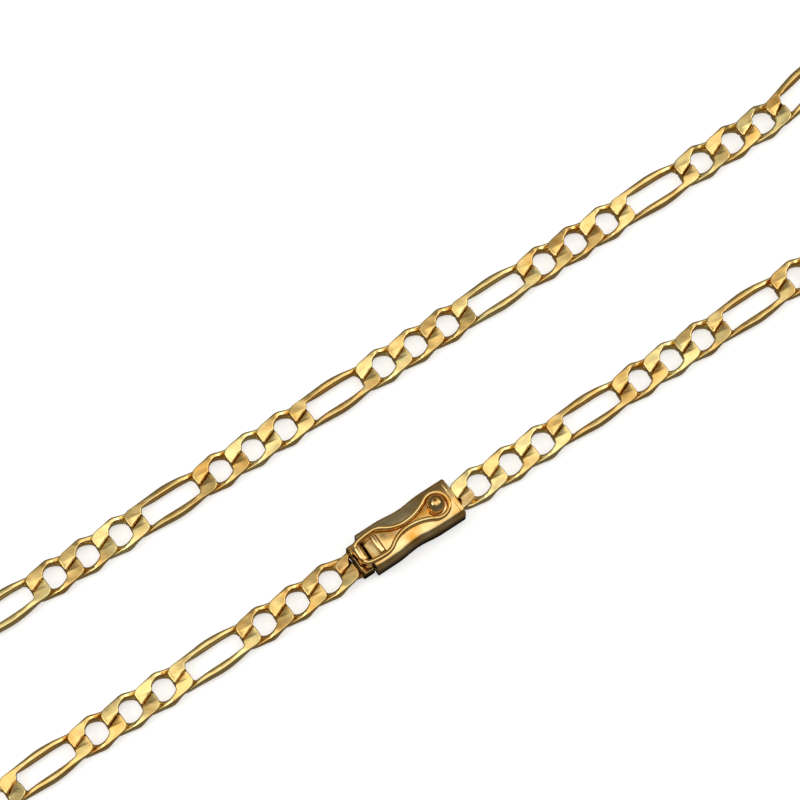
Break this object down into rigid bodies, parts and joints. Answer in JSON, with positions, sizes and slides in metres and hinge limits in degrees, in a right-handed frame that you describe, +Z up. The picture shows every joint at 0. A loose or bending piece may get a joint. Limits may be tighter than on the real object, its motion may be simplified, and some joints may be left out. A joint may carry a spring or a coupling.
{
  "type": "figaro chain necklace",
  "caption": "Flat filed figaro chain of short and long oval links, closed by a box clasp with a hinged figure-eight safety catch.",
  "frame": {"origin": "middle of the closed loop where it lies, on the surface under it", "axes": "+X along the two straight stretches, from the tongue to the box of the clasp; +Y across them, away from the clasp; +Z up from the surface"},
  "size_m": [0.2194, 0.0498, 0.0045],
  "materials": {
    "polished_gold": "yellow gold plate on brass, filed and polished",
    "clasp_gold": "yellow gold plate on stamped brass sheet, polished",
    "catch_gold": "yellow gold plate on drawn brass wire, polished"
  },
  "bodies": {
    "necklace": {"chain_right": "polished_gold", "chain_left": "polished_gold", "clasp_box": "clasp_gold", "clasp_tongue": "clasp_gold"},
    "catch": {"safety_catch": "catch_gold"}
  },
  "joints": [
    {"name": "catch_hinge", "type": "hinge", "parent": "necklace", "child": "catch", "pos_m": [-0.01139, -0.0079, 0.00325], "axis": [0, -1, 0], "range_deg": [0, 150]}
  ]
}
